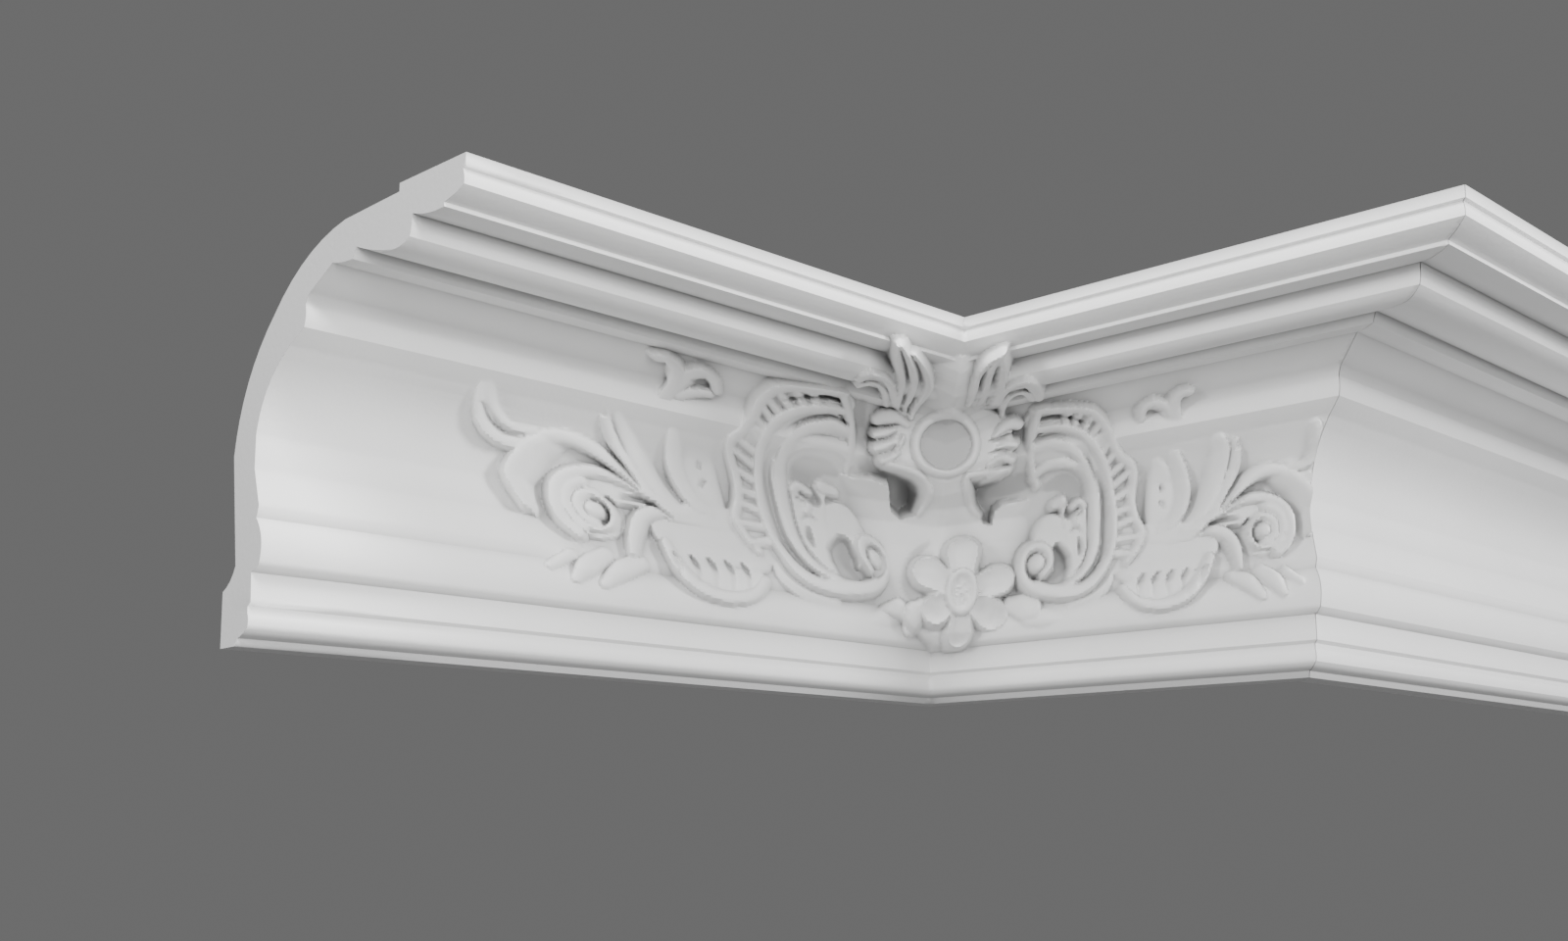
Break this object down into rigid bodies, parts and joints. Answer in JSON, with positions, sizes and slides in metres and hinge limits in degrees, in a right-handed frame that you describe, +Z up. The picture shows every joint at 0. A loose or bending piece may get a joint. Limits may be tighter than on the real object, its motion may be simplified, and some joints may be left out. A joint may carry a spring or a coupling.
{
  "type": "cornice moulding",
  "caption": "Coved cornice moulding running through an inside and an outside corner, with a rocaille scroll, flower and medallion ornament cast over the inside corner.",
  "frame": {"origin": "middle of the ceiling face on the inside corner's mitre", "axes": "+Z up to the ceiling, +Y towards the wall behind the left run, +X along the left and right runs towards the plain length"},
  "size_m": [0.725, 0.367, 0.15],
  "materials": {
    "casting_white": "matte white paint on cast polyurethane",
    "plain_white": "matte white paint on cast polyurethane"
  },
  "bodies": {
    "root": {"corner_casting": "casting_white", "plain_length": "plain_white"}
  },
  "joints": []
}
